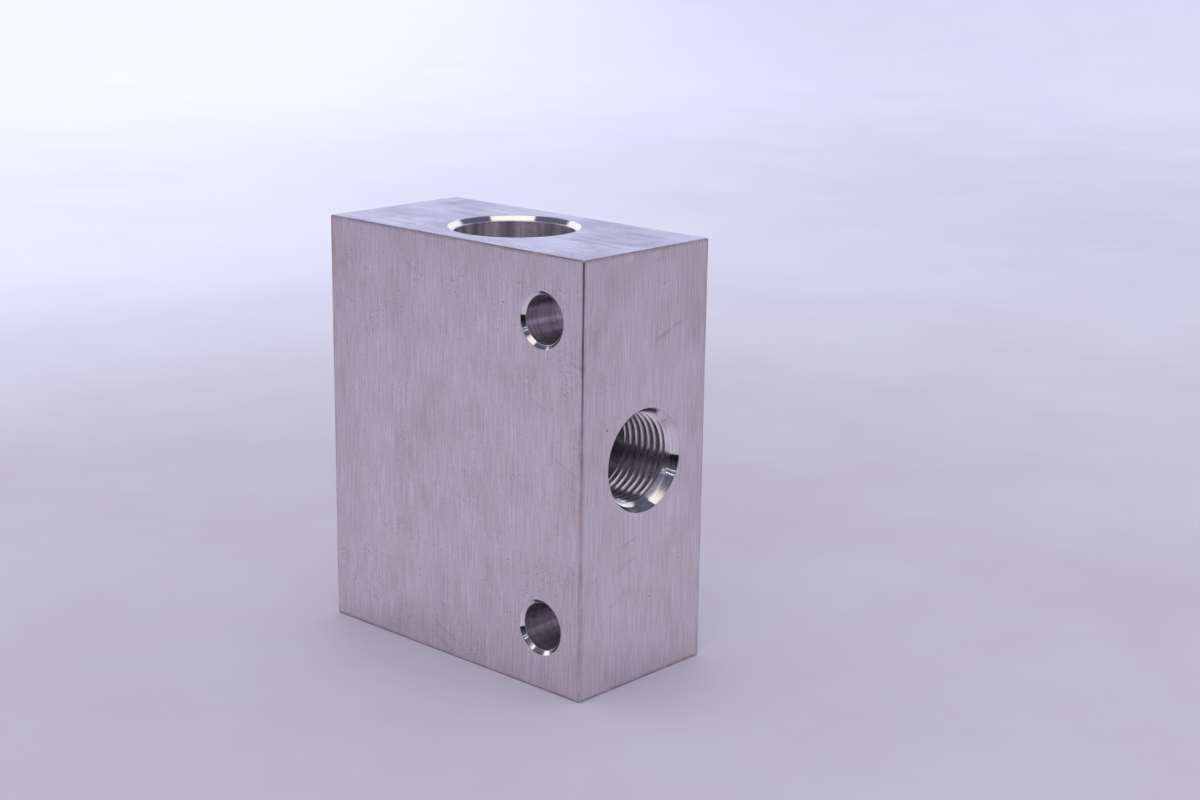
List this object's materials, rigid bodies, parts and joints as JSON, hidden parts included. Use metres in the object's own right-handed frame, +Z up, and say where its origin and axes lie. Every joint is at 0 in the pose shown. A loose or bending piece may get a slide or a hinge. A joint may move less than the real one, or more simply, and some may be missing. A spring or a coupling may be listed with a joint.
{
  "type": "hydraulic manifold block",
  "caption": "Rectangular aluminium manifold block with a stepped cartridge cavity in its top, threaded O-ring boss ports into it and a pair of mounting holes through its depth.",
  "frame": {"origin": "middle of the bottom face", "axes": "+Z up along the cavity's axis, out of its mouth; +X out of the side port, towards the face beside the mounting holes; +Y through the block's depth, from front to back"},
  "size_m": [0.07, 0.035, 0.085],
  "materials": {
    "block": "machined satin"
  },
  "bodies": {
    "root": {"manifold_block": "block"}
  },
  "joints": []
}
